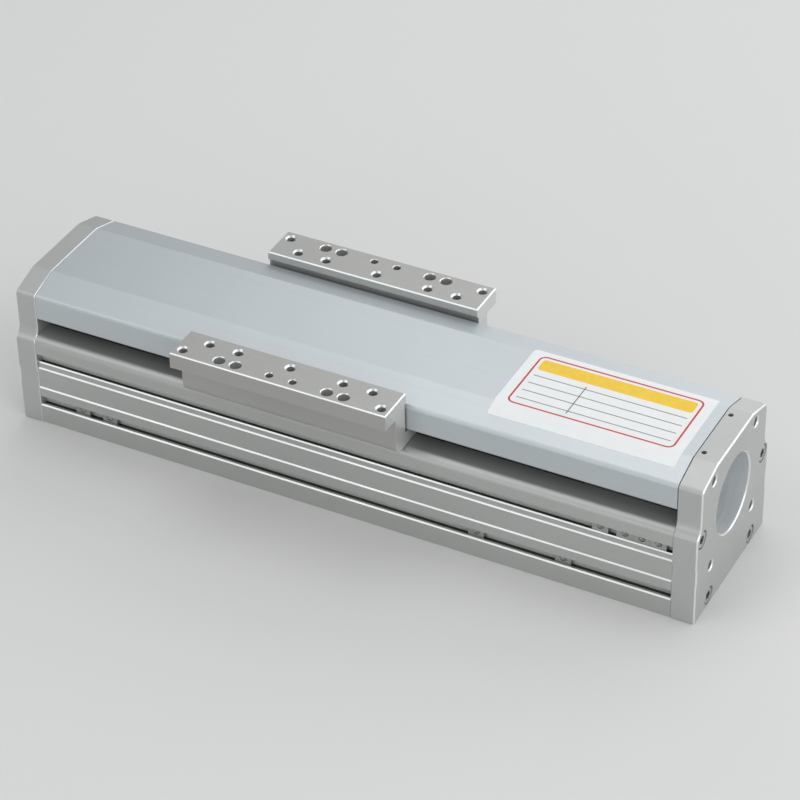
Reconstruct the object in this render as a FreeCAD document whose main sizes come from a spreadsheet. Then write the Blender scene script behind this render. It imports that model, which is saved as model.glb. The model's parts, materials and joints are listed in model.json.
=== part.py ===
import FreeCAD, Part
import math
import os
import Sketcher
from types import SimpleNamespace

# Covered ball screw module with a carriage that straddles its cover on two wings.
# Millimetres. X runs along the screw to the motor end, Y across, Z up, and the base stands on Z = 0.

DIMENSIONS = {
    # Envelope
    "overall_length": "351.6",
    "idle_plate_thickness": "10.7",
    "motor_plate_thickness": "11.7",
    "base_width": "80",
    "side_height": "47.3",
    "shoulder_inset": "3.8",
    "flare_radius": "7.5",
    "shoulder_round": "2.2",
    "corner_drop": "4.8",
    "corner_radius": "2.5",
    "crown_width": "40.2",
    "foot_chamfer": "0.6",
    # Base extrusion
    "floor_thickness": "10.6",
    "wall_top_height": "49.6",
    "wall_round": "4.2",
    "slot_mouth": "5",
    "slot_cavity": "7.4",
    "slot_lip": "1.8",
    "slot_depth": "4.8",
    "low_slot_height": "13.3",
    "high_slot_height": "38",
    "low_ledge_height": "20.65",
    "high_ledge_height": "31.65",
    "ledge_step": "0.6",
    # Screw ports of the end plates
    "high_port_inset": "5.6",
    "high_port_height": "44.5",
    "low_port_inset": "16",
    "low_port_height": "5.3",
    # Cover
    "cover_thickness": "2.6",
    "cover_headroom": "4.6",
    "cover_edge_height": "57.8",
    "cover_edge_round": "1.6",
    "seam_gap": "0.25",
    "key_spacing": "30",
    "key_drop": "6",
    "key_width": "6",
    "key_thickness": "3",
    "key_length": "14",
    "key_wall": "1.2",
    "key_clearance": "0.05",
    # End plates
    "plate_edge_break": "0.6",
    "seam_edge_break": "0.35",
    "relief_depth": "0.5",
    "relief_slope": "2.4",
    "set_screw_diameter": "2.5",
    "set_screw_length": "3.2",
    "set_screw_inset": "2.8",
    # Motor seat
    "axis_height": "46",
    "motor_pilot": "38.1",
    "motor_pilot_depth": "23",
    "motor_bolt_spacing": "47.14",
    "chamber_diameter": "36",
    "boss_diameter": "46",
    "boss_depth": "50",
    "boss_lip": "2",
    # Cap screws of the end plates
    "plate_screw": "5",
    "plate_screw_head": "8.5",
    "plate_screw_head_height": "5",
    "plate_screw_grip": "9",
    "head_clearance": "0.35",
    "head_recess": "0.4",
    "screw_clearance": "0.25",
    "thread_clearance": "0.02",
    # Guide rails and blocks
    "rail_spacing": "26",
    "rail_width": "12",
    "rail_height": "8",
    "rail_groove": "1.4",
    "rail_groove_height": "4.2",
    "rail_groove_width": "3.5",
    "rail_end_gap": "1.5",
    "block_width": "24",
    "block_height": "10",
    "block_length": "32.4",
    "block_cap_length": "6.5",
    "block_spacing": "52",
    "block_side_gap": "1.5",
    "guide_height": "13",
    "guide_clearance": "0.2",
    # Carriage
    "carriage_place": "-23.5",
    "slider_thickness": "6.4",
    "saddle_waist": "44",
    "saddle_foot_height": "6.5",
    "saddle_headroom": "3.5",
    "flange_bay": "13",
    "arm_clearance": "0.5",
    "web_thickness": "8.8",
    "web_clearance": "1",
    "web_radius": "4.5",
    "wing_length": "111",
    "wing_reach": "9.5",
    "wing_height": "78.3",
    "wing_overhang": "0.4",
    "wing_lip": "8.2",
    "wing_inner_lip": "4",
    "wing_edge_break": "0.5",
    "wing_fillet": "1.2",
    # Holes in the wings
    "outer_row_inset": "5",
    "inner_row_inset": "14",
    "corner_thread_inset": "4.5",
    "inner_thread_spacing": "84",
    "middle_thread_spacing": "54",
    "outer_through_spacing": "64",
    "inner_through_spacing": "47",
    "dowel_spacing": "12",
    "through_hole": "5.5",
    "dowel_hole": "3.6",
    "thread_depth": "14",
    # Ball screw and nut
    "screw_diameter": "16",
    "nut_clearance": "0.05",
    "nut_diameter": "28",
    "nut_length": "57",
    "nut_seat_clearance": "0.1",
    "flange_diameter": "48",
    "flange_headroom": "1.5",
    "flange_thickness": "10",
    "drive_end_diameter": "10",
    "drive_end_inset": "26",
    # Fixed bearings
    "fixed_bearing_bore": "12",
    "fixed_bearing_diameter": "28",
    "fixed_bearing_width": "16",
    "retainer_thickness": "4",
    "retainer_clearance": "0.1",
    "lock_nut_corners": "22",
    "lock_nut_width": "8",
    "running_gap": "1",
    "turning_gap": "2",
    # Support bearing
    "support_bearing_bore": "10",
    "support_bearing_diameter": "26",
    "support_bearing_width": "8",
    "support_end_gap": "0.6",
    "ring_thickness": "2.6",
    "seat_clearance": "0.02",
    # Bumpers
    "bumper_width": "20",
    "bumper_height": "6",
    "bumper_drop": "0.5",
    "bumper_length": "5",
    # Nuts in the slots
    "slot_nut_length": "8",
    "slot_nut_thickness": "2.6",
    "slot_nut_clearance": "0.1",
    "slot_nut_thread": "3",
    "high_nut_inset": "35.4",
    "high_row_inset": "23.6",
    "low_idle_inset": "22.8",
    "low_idle_second_inset": "37.9",
    "low_motor_inset": "53.1",
    "low_motor_second_inset": "96.6",
}

doc = FreeCAD.newDocument("covered_linear_module")
sheet = doc.addObject("Spreadsheet::Sheet", "Sizes")
for row, (alias, number) in enumerate(DIMENSIONS.items(), start=1):
    sheet.set("A%d" % row, number)
    sheet.setAlias("A%d" % row, alias)
doc.recompute()


class Size:
    """A length that knows its number and the sheet expression that gives it."""

    def __init__(self, number, text):
        self.number = number
        self.text = text

    def __add__(self, other):
        other = as_size(other)
        return Size(self.number + other.number, "(%s + %s)" % (self.text, other.text))

    def __sub__(self, other):
        other = as_size(other)
        return Size(self.number - other.number, "(%s - %s)" % (self.text, other.text))

    def __mul__(self, other):
        other = as_size(other)
        return Size(self.number * other.number, "(%s * %s)" % (self.text, other.text))

    def __truediv__(self, other):
        other = as_size(other)
        return Size(self.number / other.number, "(%s / %s)" % (self.text, other.text))

    def __neg__(self):
        return Size(-self.number, "(-%s)" % self.text)


def as_size(value):
    if isinstance(value, Size):
        return value
    return Size(float(value), repr(value))


def root(value):
    return Size(math.sqrt(value.number), "sqrt(%s)" % value.text)


ZERO = as_size(0)
HEXAGON_RISE = math.sqrt(0.75)
dim = SimpleNamespace(**{alias: Size(float(sheet.get(alias)), "Sizes." + alias) for alias in DIMENSIONS})

# Places that several pieces share
base_start = dim.idle_plate_thickness - dim.overall_length / 2
base_end = dim.overall_length / 2 - dim.motor_plate_thickness
half_base = dim.base_width / 2
half_shoulder = half_base - dim.shoulder_inset
half_crown = dim.crown_width / 2
flare_out = half_shoulder + dim.flare_radius
flare_top = dim.side_height + root(dim.shoulder_inset * (dim.flare_radius * 2 - dim.shoulder_inset))
half_slider = dim.rail_spacing / 2 + dim.block_width / 2
half_inside = half_slider + dim.block_side_gap
cover_underside = dim.axis_height + dim.boss_diameter / 2 + dim.cover_headroom
crown_height = cover_underside + dim.cover_thickness
corner_height = crown_height - dim.corner_drop
key_height = crown_height - dim.key_drop
rib_bottom = key_height - dim.key_thickness / 2 - dim.key_wall
saddle_top = rib_bottom - dim.saddle_headroom
flange_rise = rib_bottom - dim.flange_headroom - dim.axis_height
motor_face = dim.overall_length / 2
idle_face = -motor_face
boss_start = base_end - dim.boss_depth
bearing_start = boss_start + dim.boss_lip
bearing_end = bearing_start + dim.fixed_bearing_width
pilot_end = motor_face - dim.motor_pilot_depth
lock_nut_end = bearing_end + dim.lock_nut_width
support_start = base_start - dim.support_bearing_width
support_end = support_start + dim.support_end_gap
drive_end = motor_face - dim.drive_end_inset
rail_start = base_start + dim.rail_end_gap
rail_end = base_end - dim.rail_end_gap
guide_top = dim.floor_thickness + dim.guide_height
slider_top = guide_top + dim.slider_thickness
saddle_foot_top = slider_top + dim.saddle_foot_height
arm_bottom = dim.wall_top_height + dim.arm_clearance
arm_top = dim.cover_edge_height - dim.arm_clearance
wing_start = dim.carriage_place - dim.wing_length / 2
wing_end = dim.carriage_place + dim.wing_length / 2
flange_seat = wing_end - dim.flange_bay
web_in = half_shoulder + dim.web_clearance
web_out = web_in + dim.web_thickness
wing_in = half_shoulder - dim.wing_overhang
wing_out = web_out + dim.wing_reach
counterbore_depth = dim.plate_screw_head_height + dim.head_recess
thread_hole = dim.plate_screw + dim.thread_clearance * 2
clear_hole = dim.plate_screw + dim.screw_clearance * 2
head_hole = dim.plate_screw_head + dim.head_clearance * 2
fixed_outer_bore = dim.fixed_bearing_diameter - dim.ring_thickness * 2
fixed_inner_diameter = dim.fixed_bearing_bore + dim.ring_thickness * 2
fixed_inner_bore = dim.fixed_bearing_bore + dim.seat_clearance * 2
support_outer_bore = dim.support_bearing_diameter - dim.ring_thickness * 2
support_inner_diameter = dim.support_bearing_bore + dim.ring_thickness * 2
support_inner_bore = dim.support_bearing_bore + dim.seat_clearance * 2


def bind(thing, name, value):
    """Gives a property its number and ties it to the sheet."""
    thing.setExpression(name, as_size(value).text)


def new_body(label, several=False):
    body = doc.addObject("PartDesign::Body", label)
    body.Label = label
    body.AllowCompound = several
    return body


def origin_plane(body, role):
    return next(plane for plane in body.Origin.OriginFeatures if plane.Role == role)


def new_sketch(body, role, shift=ZERO):
    """A sketch on one of the body's own planes, moved along the plane's normal."""
    sketch = body.newObject("Sketcher::SketchObject", body.Label + "_sketch")
    sketch.AttachmentSupport = [(origin_plane(body, role), "")]
    sketch.MapMode = "FlatFace"
    bind(sketch, "AttachmentOffset.Base.z", shift)
    return sketch


def point_marks(geometry, end, u, v):
    """Constraints that hold one point of a sketch at (u, v)."""
    marks = []
    for kind, axis, value in (("DistanceX", -2, u), ("DistanceY", -1, v)):
        if value.text == ZERO.text:
            marks.append((Sketcher.Constraint("PointOnObject", geometry, end, axis), None))
        elif value.number < 0:
            marks.append((Sketcher.Constraint(kind, geometry, end, -1, 1, -value.number), (-value).text))
        else:
            marks.append((Sketcher.Constraint(kind, -1, 1, geometry, end, value.number), value.text))
    return marks


def apply_marks(sketch, marks):
    first = sketch.ConstraintCount
    sketch.addConstraint([constraint for constraint, text in marks])
    for index, (constraint, text) in enumerate(marks, start=first):
        if text is not None:
            sketch.setExpression("Constraints[%d]" % index, text)


def draw_outline(sketch, corners):
    """Draws a closed loop. A corner is (u, v), or (u, v, radius, centre) at the end of an arc."""
    corners = [tuple(as_size(c) if n < 3 else c for n, c in enumerate(corner)) for corner in corners]
    first = sketch.GeometryCount
    ends = []
    marks = []
    for index, corner in enumerate(corners):
        before = corners[index - 1]
        start = FreeCAD.Vector(before[0].number, before[1].number, 0)
        stop = FreeCAD.Vector(corner[0].number, corner[1].number, 0)
        geometry = first + index
        if len(corner) == 2:
            sketch.addGeometry(Part.LineSegment(start, stop), False)
            ends.append((1, 2))
            continue
        centre = FreeCAD.Vector(corner[3][0].number, corner[3][1].number, 0)
        angles = [math.atan2(p.y - centre.y, p.x - centre.x) for p in (start, stop)]
        forward = (start - centre).cross(stop - centre).z > 0
        circle = Part.Circle(centre, FreeCAD.Vector(0, 0, 1), corner[2].number)
        first_angle, last_angle = angles if forward else angles[::-1]
        sketch.addGeometry(Part.ArcOfCircle(circle, first_angle, last_angle), False)
        ends.append((1, 2) if forward else (2, 1))
        marks.append((Sketcher.Constraint("Radius", geometry, corner[2].number), corner[2].text))
    for index, corner in enumerate(corners):
        geometry = first + index
        following = (index + 1) % len(corners)
        start_of_next = (first + following, ends[following][0])
        joint = Sketcher.Constraint("Coincident", geometry, ends[index][1], *start_of_next)
        marks.append((joint, None))
        marks.extend(point_marks(geometry, ends[index][1], corner[0], corner[1]))
    apply_marks(sketch, marks)


def draw_rectangle(sketch, low_u, low_v, high_u, high_v):
    draw_outline(sketch, [(low_u, low_v), (high_u, low_v), (high_u, high_v), (low_u, high_v)])


def draw_circles(sketch, places, diameter):
    marks = []
    diameter = as_size(diameter)
    for u, v in places:
        u = as_size(u)
        v = as_size(v)
        centre = FreeCAD.Vector(u.number, v.number, 0)
        circle = Part.Circle(centre, FreeCAD.Vector(0, 0, 1), diameter.number / 2)
        geometry = sketch.addGeometry(circle, False)
        marks.append((Sketcher.Constraint("Diameter", geometry, diameter.number), diameter.text))
        marks.extend(point_marks(geometry, 3, u, v))
    apply_marks(sketch, marks)


def pad(body, sketch, length, backwards=False):
    feature = body.newObject("PartDesign::Pad", body.Label + "_pad")
    feature.Profile = sketch
    feature.Reversed = backwards
    bind(feature, "Length", length)
    body.Tip = feature
    return feature


def check_cut(body, before, feature):
    doc.recompute()
    if body.Shape.Volume > before - 1e-6:
        raise RuntimeError("%s cuts nothing from %s" % (feature.Name, body.Label))


def pocket(body, sketch, depth, backwards=False):
    doc.recompute()
    before = body.Shape.Volume
    feature = body.newObject("PartDesign::Pocket", body.Label + "_pocket")
    feature.Profile = sketch
    feature.Reversed = backwards
    bind(feature, "Length", depth)
    body.Tip = feature
    check_cut(body, before, feature)


def drill(body, sketch, diameter, depth=None, backwards=False, counterbore=None):
    """Drills a hole at every circle of the sketch, right through where no depth is given."""
    doc.recompute()
    before = body.Shape.Volume
    feature = body.newObject("PartDesign::Hole", body.Label + "_hole")
    feature.Profile = sketch
    feature.ThreadType = "None"
    feature.DrillPoint = "Flat"
    feature.Reversed = backwards
    bind(feature, "Diameter", diameter)
    if depth is None:
        feature.DepthType = "ThroughAll"
    else:
        feature.DepthType = "Dimension"
        bind(feature, "Depth", depth)
    if counterbore is not None:
        feature.HoleCutType = "Counterbore"
        bind(feature, "HoleCutDiameter", counterbore[0])
        bind(feature, "HoleCutDepth", counterbore[1])
    body.Tip = feature
    check_cut(body, before, feature)


def mirror(body, features, role):
    feature = body.newObject("PartDesign::Mirrored", body.Label + "_mirror")
    feature.Originals = features
    feature.MirrorPlane = (origin_plane(body, role), [""])
    body.Tip = feature
    doc.recompute()
    return feature


def spin(body, sketch):
    """Turns the sketch round the X axis."""
    feature = body.newObject("PartDesign::Revolution", body.Label + "_turned")
    feature.Profile = sketch
    feature.ReferenceAxis = (sketch, ["H_Axis"])
    feature.Angle = 360
    body.Tip = feature
    return feature


def long_edges(shape, places):
    """Names of the edges that run along X through the given (y, z) places."""
    names = []
    for index, edge in enumerate(shape.Edges, start=1):
        middle = edge.CenterOfMass
        box = edge.BoundBox
        if box.YLength > 1e-6 or box.ZLength > 1e-6:
            continue
        if any(math.hypot(middle.y - y.number, middle.z - z.number) < 1e-4 for y, z in places):
            names.append("Edge%d" % index)
    return names


def face_rim(shape, axis, place):
    """Names of the outer edges of the face that lies square to the axis at the place."""
    wanted = []
    for face in shape.Faces:
        low = getattr(face.BoundBox, axis + "Min")
        high = getattr(face.BoundBox, axis + "Max")
        if abs(low - place.number) < 1e-6 and abs(high - place.number) < 1e-6:
            wanted.extend(face.OuterWire.Edges)
    numbered = enumerate(shape.Edges, start=1)
    return ["Edge%d" % n for n, edge in numbered if any(edge.isSame(rim) for rim in wanted)]


def circle_edge(shape, place_x, radius):
    """Name of the round edge of that radius on the plane at the place, centred on the screw's axis."""
    names = []
    for index, edge in enumerate(shape.Edges, start=1):
        if not isinstance(edge.Curve, Part.Circle):
            continue
        centre = edge.Curve.Center
        off = math.hypot(centre.y, centre.z - dim.axis_height.number)
        if abs(centre.x - place_x.number) + off + abs(edge.Curve.Radius - radius.number) < 1e-4:
            names.append("Edge%d" % index)
    return names


def break_edges(body, names, value, kind="Chamfer"):
    """Chamfers or rounds named edges of what the body has so far."""
    base = body.Tip
    feature = body.newObject("PartDesign::" + kind, body.Label + "_" + kind.lower())
    feature.Base = (base, names)
    bind(feature, "Size" if kind == "Chamfer" else "Radius", value)
    body.Tip = feature
    doc.recompute()


def four_corners(width, height, centre_u=ZERO, centre_v=ZERO):
    return [(centre_u + width * u, centre_v + height * v) for u in (-0.5, 0.5) for v in (-0.5, 0.5)]


def draw_hexagon(sketch, corners_across):
    """A hexagon round the screw's axis, with two corners level with it."""
    reach = corners_across / 2
    rise = reach * HEXAGON_RISE
    middle = dim.axis_height
    draw_outline(sketch, [
        (reach, middle), (reach / 2, middle + rise), (-reach / 2, middle + rise),
        (-reach, middle), (-reach / 2, middle - rise), (reach / 2, middle - rise),
    ])


# Screw ports of the end plates and keys of the cover, as (y, z)
port_places = [
    ((half_base - dim.high_port_inset) * side, dim.high_port_height) for side in (-1, 1)
] + [
    ((half_base - dim.low_port_inset) * side, dim.low_port_height) for side in (-1, 1)
]
key_places = [(dim.key_spacing * side / 2, key_height) for side in (-1, 1)]
lock_places = [(base_end + dim.set_screw_inset, dim.key_spacing * side / 2) for side in (-1, 1)]
on_axis = [(ZERO, dim.axis_height)]


def slot_corners(height, step):
    """One T-slot of the base, from the chamfer of its lower lip to its upper lip."""
    face = half_base - step
    lip = half_base - dim.slot_lip
    back = half_base - dim.slot_depth
    return [
        (face, height - dim.slot_mouth / 2 - dim.ledge_step),
        (face - dim.ledge_step, height - dim.slot_mouth / 2),
        (lip, height - dim.slot_mouth / 2),
        (lip, height - dim.slot_cavity / 2),
        (back, height - dim.slot_cavity / 2),
        (back, height + dim.slot_cavity / 2),
        (lip, height + dim.slot_cavity / 2),
        (lip, height + dim.slot_mouth / 2),
        (half_base, height + dim.slot_mouth / 2),
    ]


def make_base_extrusion():
    body = new_body("base_extrusion")
    section = new_sketch(body, "YZ_Plane", base_start)
    step = dim.ledge_step
    draw_outline(section, [
        (0, 0),
        (half_base - dim.foot_chamfer, 0),
        (half_base, dim.foot_chamfer),
        *slot_corners(dim.low_slot_height, ZERO),
        (half_base, dim.low_ledge_height),
        (half_base - step, dim.low_ledge_height + step),
        (half_base - step, dim.high_ledge_height),
        (half_base - step * 2, dim.high_ledge_height + step),
        *slot_corners(dim.high_slot_height, step * 2),
        (half_base, dim.wall_top_height),
        (half_inside, dim.wall_top_height),
        (half_inside, dim.floor_thickness),
        (0, dim.floor_thickness),
    ])
    half = pad(body, section, base_end - base_start)
    mirror(body, [half], "XZ_Plane")
    rims = [(half_base * side, dim.wall_top_height) for side in (-1, 1)]
    break_edges(body, long_edges(body.Shape, rims), dim.wall_round, "Fillet")
    ports = new_sketch(body, "YZ_Plane", base_end)
    draw_circles(ports, port_places, thread_hole)
    drill(body, ports, thread_hole)
    return body


def cut_key_slots(body, face, backwards):
    """Slots that take half of each cover key, with a little room all round."""
    slots = new_sketch(body, "YZ_Plane", face)
    half_width = dim.key_width / 2 + dim.key_clearance
    half_thickness = dim.key_thickness / 2 + dim.key_clearance
    for y, z in key_places:
        draw_rectangle(slots, y - half_width, z - half_thickness, y + half_width, z + half_thickness)
    pocket(body, slots, dim.key_length / 2 + dim.key_clearance, backwards)


def make_top_cover():
    body = new_body("top_cover")
    section = new_sketch(body, "YZ_Plane", base_start + dim.seam_gap)
    inside = half_shoulder - dim.cover_thickness
    rib_in = dim.key_spacing / 2 - dim.key_width / 2 - dim.key_wall
    rib_out = dim.key_spacing / 2 + dim.key_width / 2 + dim.key_wall
    draw_outline(section, [
        (0, cover_underside),
        (rib_in, cover_underside),
        (rib_in, rib_bottom),
        (rib_out, rib_bottom),
        (rib_out, cover_underside),
        (half_crown, cover_underside),
        (inside, corner_height - dim.cover_thickness),
        (inside, dim.cover_edge_height),
        (half_shoulder, dim.cover_edge_height),
        (half_shoulder, corner_height),
        (half_crown, crown_height),
        (0, crown_height),
    ])
    half = pad(body, section, base_end - base_start - dim.seam_gap * 2)
    mirror(body, [half], "XZ_Plane")
    corners = [(half_shoulder * side, corner_height) for side in (-1, 1)]
    break_edges(body, long_edges(body.Shape, corners), dim.corner_radius, "Fillet")
    lips = [(half_shoulder * side, dim.cover_edge_height) for side in (-1, 1)]
    break_edges(body, long_edges(body.Shape, lips), dim.cover_edge_round, "Fillet")
    cut_key_slots(body, base_end - dim.seam_gap, False)
    cut_key_slots(body, base_start + dim.seam_gap, True)
    return body


def plate_blank(label, start, thickness):
    """The outline that both end plates share."""
    body = new_body(label)
    section = new_sketch(body, "YZ_Plane", start)
    draw_outline(section, [
        (0, 0),
        (half_base - dim.foot_chamfer, 0),
        (half_base, dim.foot_chamfer),
        (half_base, dim.low_ledge_height),
        (half_base - dim.relief_depth, dim.low_ledge_height + dim.relief_slope),
        (half_base - dim.relief_depth, dim.high_ledge_height - dim.relief_slope),
        (half_base, dim.high_ledge_height),
        (half_base, dim.side_height),
        (half_shoulder, flare_top, dim.flare_radius, (flare_out, flare_top)),
        (half_shoulder, corner_height),
        (half_crown, crown_height),
        (0, crown_height),
    ])
    half = pad(body, section, thickness)
    mirror(body, [half], "XZ_Plane")
    corners = [(half_shoulder * side, corner_height) for side in (-1, 1)]
    break_edges(body, long_edges(body.Shape, corners), dim.corner_radius, "Fillet")
    shoulders = [(half_base * side, dim.side_height) for side in (-1, 1)]
    break_edges(body, long_edges(body.Shape, shoulders), dim.shoulder_round, "Fillet")
    return body


def finish_plate(body, outer_face, inner_face, backwards):
    """Broken edges, counterbored screw holes and key slots of an end plate."""
    break_edges(body, face_rim(body.Shape, "X", outer_face), dim.plate_edge_break)
    break_edges(body, face_rim(body.Shape, "X", inner_face), dim.seam_edge_break)
    holes = new_sketch(body, "YZ_Plane", outer_face)
    draw_circles(holes, port_places, clear_hole)
    drill(body, holes, clear_hole, backwards=backwards, counterbore=(head_hole, counterbore_depth))
    cut_key_slots(body, inner_face, not backwards)


def make_motor_end_plate():
    body = plate_blank("motor_end_plate", base_end, dim.motor_plate_thickness)
    finish_plate(body, motor_face, base_end, False)
    boss = new_sketch(body, "YZ_Plane", base_end)
    draw_circles(boss, on_axis, dim.boss_diameter)
    pad(body, boss, dim.boss_depth, backwards=True)
    bores = [
        (dim.screw_diameter + dim.turning_gap * 2, boss_start),
        (dim.fixed_bearing_diameter + dim.seat_clearance * 2, bearing_start),
        (dim.chamber_diameter, bearing_end),
        (dim.motor_pilot, pilot_end),
    ]
    for diameter, end in bores:
        bore = new_sketch(body, "YZ_Plane", motor_face)
        draw_circles(bore, on_axis, diameter)
        pocket(body, bore, motor_face - end)
    break_edges(body, circle_edge(body.Shape, motor_face, dim.motor_pilot / 2), dim.plate_edge_break)
    bolts = new_sketch(body, "YZ_Plane", motor_face)
    bolt_places = four_corners(dim.motor_bolt_spacing, dim.motor_bolt_spacing, ZERO, dim.axis_height)
    draw_circles(bolts, bolt_places, thread_hole)
    drill(body, bolts, thread_hole, dim.motor_plate_thickness)
    locks = new_sketch(body, "XY_Plane", crown_height)
    lock_hole = dim.set_screw_diameter + dim.thread_clearance * 2
    draw_circles(locks, lock_places, lock_hole)
    drill(body, locks, lock_hole, crown_height - key_height)
    return body


def make_idle_end_plate():
    body = plate_blank("idle_end_plate", idle_face, dim.idle_plate_thickness)
    finish_plate(body, idle_face, base_start, True)
    seat = new_sketch(body, "YZ_Plane", base_start)
    draw_circles(seat, on_axis, dim.support_bearing_diameter + dim.seat_clearance * 2)
    pocket(body, seat, dim.support_bearing_width)
    return body


def make_cover_keys():
    """Flat keys that line the cover up with both end plates."""
    body = new_body("cover_keys", several=True)
    for end in (base_start, base_end):
        section = new_sketch(body, "YZ_Plane", end - dim.key_length / 2)
        for y, z in key_places:
            draw_rectangle(section, y - dim.key_width / 2, z - dim.key_thickness / 2,
                           y + dim.key_width / 2, z + dim.key_thickness / 2)
        pad(body, section, dim.key_length)
    return body


def make_cover_set_screws():
    body = new_body("cover_set_screws", several=True)
    section = new_sketch(body, "XY_Plane", key_height + dim.key_thickness / 2)
    draw_circles(section, lock_places, dim.set_screw_diameter)
    pad(body, section, dim.set_screw_length)
    return body


def make_plate_screws(label, seat, thickness, heads_up):
    """Socket head cap screws of one end plate, whose heads sit on the plane at the seat."""
    body = new_body(label, several=True)
    heads = new_sketch(body, "YZ_Plane", seat)
    draw_circles(heads, port_places, dim.plate_screw_head)
    pad(body, heads, dim.plate_screw_head_height, backwards=not heads_up)
    shanks = new_sketch(body, "YZ_Plane", seat)
    draw_circles(shanks, port_places, dim.plate_screw)
    pad(body, shanks, thickness - counterbore_depth + dim.plate_screw_grip, backwards=heads_up)
    return body


def make_guide_rail(label, side):
    body = new_body(label)
    section = new_sketch(body, "YZ_Plane", rail_start)
    half = dim.rail_width / 2
    waist = half - dim.rail_groove
    mouth = dim.rail_groove_width / 2
    flat = mouth - dim.rail_groove
    middle = dim.rail_groove_height
    draw_outline(section, [
        (0, 0),
        (half, 0),
        (half, middle - mouth),
        (waist, middle - flat),
        (waist, middle + flat),
        (half, middle + mouth),
        (half, dim.rail_height),
        (0, dim.rail_height),
    ])
    half_rail = pad(body, section, rail_end - rail_start)
    mirror(body, [half_rail], "XZ_Plane")
    bind(body, "Placement.Base.y", dim.rail_spacing * side / 2)
    bind(body, "Placement.Base.z", dim.floor_thickness)
    return body


def block_section(sketch, inset):
    """The inverted U of a guide block, drawn round its rail."""
    half = dim.block_width / 2 - inset
    channel = dim.rail_width / 2 + dim.guide_clearance
    low = dim.guide_height - dim.block_height + inset
    high = dim.guide_height - inset
    roof = dim.rail_height + dim.guide_clearance
    draw_outline(sketch, [
        (-half, low), (-channel, low), (-channel, roof), (channel, roof),
        (channel, low), (half, low), (half, high), (-half, high),
    ])


def place_on_rail(body, place_x, side):
    bind(body, "Placement.Base.x", dim.carriage_place + place_x)
    bind(body, "Placement.Base.y", dim.rail_spacing * side / 2)
    bind(body, "Placement.Base.z", dim.floor_thickness)


def make_guide_block(label, place_x, side):
    body = new_body(label)
    section = new_sketch(body, "YZ_Plane", -dim.block_length / 2)
    block_section(section, ZERO)
    pad(body, section, dim.block_length)
    place_on_rail(body, place_x, side)
    return body


def make_block_end_caps(label, place_x, side):
    body = new_body(label, several=True)
    for start in (-dim.block_length / 2 - dim.block_cap_length, dim.block_length / 2):
        section = new_sketch(body, "YZ_Plane", start)
        block_section(section, dim.guide_clearance)
        pad(body, section, dim.block_cap_length)
    place_on_rail(body, place_x, side)
    return body


def make_slider_plate():
    body = new_body("slider_plate")
    plan = new_sketch(body, "XY_Plane", guide_top)
    draw_rectangle(plan, wing_start, -half_slider, flange_seat, half_slider)
    pad(body, plan, dim.slider_thickness)
    return body


def drill_wing_holes(body):
    middle = dim.carriage_place
    inner_row = (wing_out - dim.inner_row_inset) * 2
    outer_row = (wing_out - dim.outer_row_inset) * 2
    inner_threads = four_corners(dim.inner_thread_spacing, inner_row, middle)
    inner_threads += four_corners(dim.middle_thread_spacing, inner_row, middle)
    inner_threads += [(middle, inner_row * side / 2) for side in (-1, 1)]
    corner_threads = four_corners(dim.wing_length - dim.corner_thread_inset * 2, outer_row, middle)
    through_holes = four_corners(dim.outer_through_spacing, outer_row, middle)
    through_holes += four_corners(dim.inner_through_spacing, outer_row, middle)
    dowels = four_corners(dim.dowel_spacing, outer_row, middle)
    for places, diameter, depth in (
        (inner_threads, thread_hole, dim.thread_depth),
        (corner_threads, thread_hole, dim.wing_lip),
        (through_holes, dim.through_hole, dim.wing_lip),
        (dowels, dim.dowel_hole, dim.wing_lip),
    ):
        holes = new_sketch(body, "XY_Plane", dim.wing_height)
        draw_circles(holes, places, diameter)
        drill(body, holes, diameter, depth)


def make_saddle():
    """The casting that joins the nut and slider plate to the two wings outside the cover."""
    body = new_body("saddle")
    half_waist = dim.saddle_waist / 2
    lip_bottom = dim.wing_height - dim.wing_lip
    inner_lip_bottom = dim.wing_height - dim.wing_inner_lip
    web_round = (web_out - dim.web_radius, arm_bottom + dim.web_radius)
    arms = new_sketch(body, "YZ_Plane", wing_start)
    draw_outline(arms, [
        (0, arm_bottom),
        (web_out - dim.web_radius, arm_bottom),
        (web_out, arm_bottom + dim.web_radius, dim.web_radius, web_round),
        (web_out, lip_bottom),
        (wing_out, lip_bottom),
        (wing_out, dim.wing_height),
        (wing_in, dim.wing_height),
        (wing_in, inner_lip_bottom),
        (web_in, inner_lip_bottom - (web_in - wing_in)),
        (web_in, arm_top),
        (0, arm_top),
    ])
    half_arms = pad(body, arms, dim.wing_length)
    mirror(body, [half_arms], "XZ_Plane")
    break_edges(body, face_rim(body.Shape, "Z", dim.wing_height), dim.wing_edge_break)
    roots = [(web_out * side, lip_bottom) for side in (-1, 1)]
    break_edges(body, long_edges(body.Shape, roots), dim.wing_fillet, "Fillet")
    bay = new_sketch(body, "XY_Plane", arm_top)
    bay_half = dim.flange_diameter / 2 + dim.running_gap
    draw_rectangle(bay, flange_seat, -bay_half, wing_end + dim.running_gap, bay_half)
    pocket(body, bay, arm_top - arm_bottom)
    block = new_sketch(body, "YZ_Plane", wing_start)
    draw_outline(block, [
        (-half_slider, slider_top), (half_slider, slider_top), (half_slider, saddle_foot_top),
        (half_waist, saddle_foot_top), (half_waist, saddle_top),
        (-half_waist, saddle_top), (-half_waist, saddle_foot_top),
        (-half_slider, saddle_foot_top),
    ])
    pad(body, block, flange_seat - wing_start)
    nut_seat = new_sketch(body, "YZ_Plane", flange_seat)
    draw_circles(nut_seat, on_axis, dim.nut_diameter + dim.nut_seat_clearance * 2)
    pocket(body, nut_seat, flange_seat - wing_start)
    drill_wing_holes(body)
    return body


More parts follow.
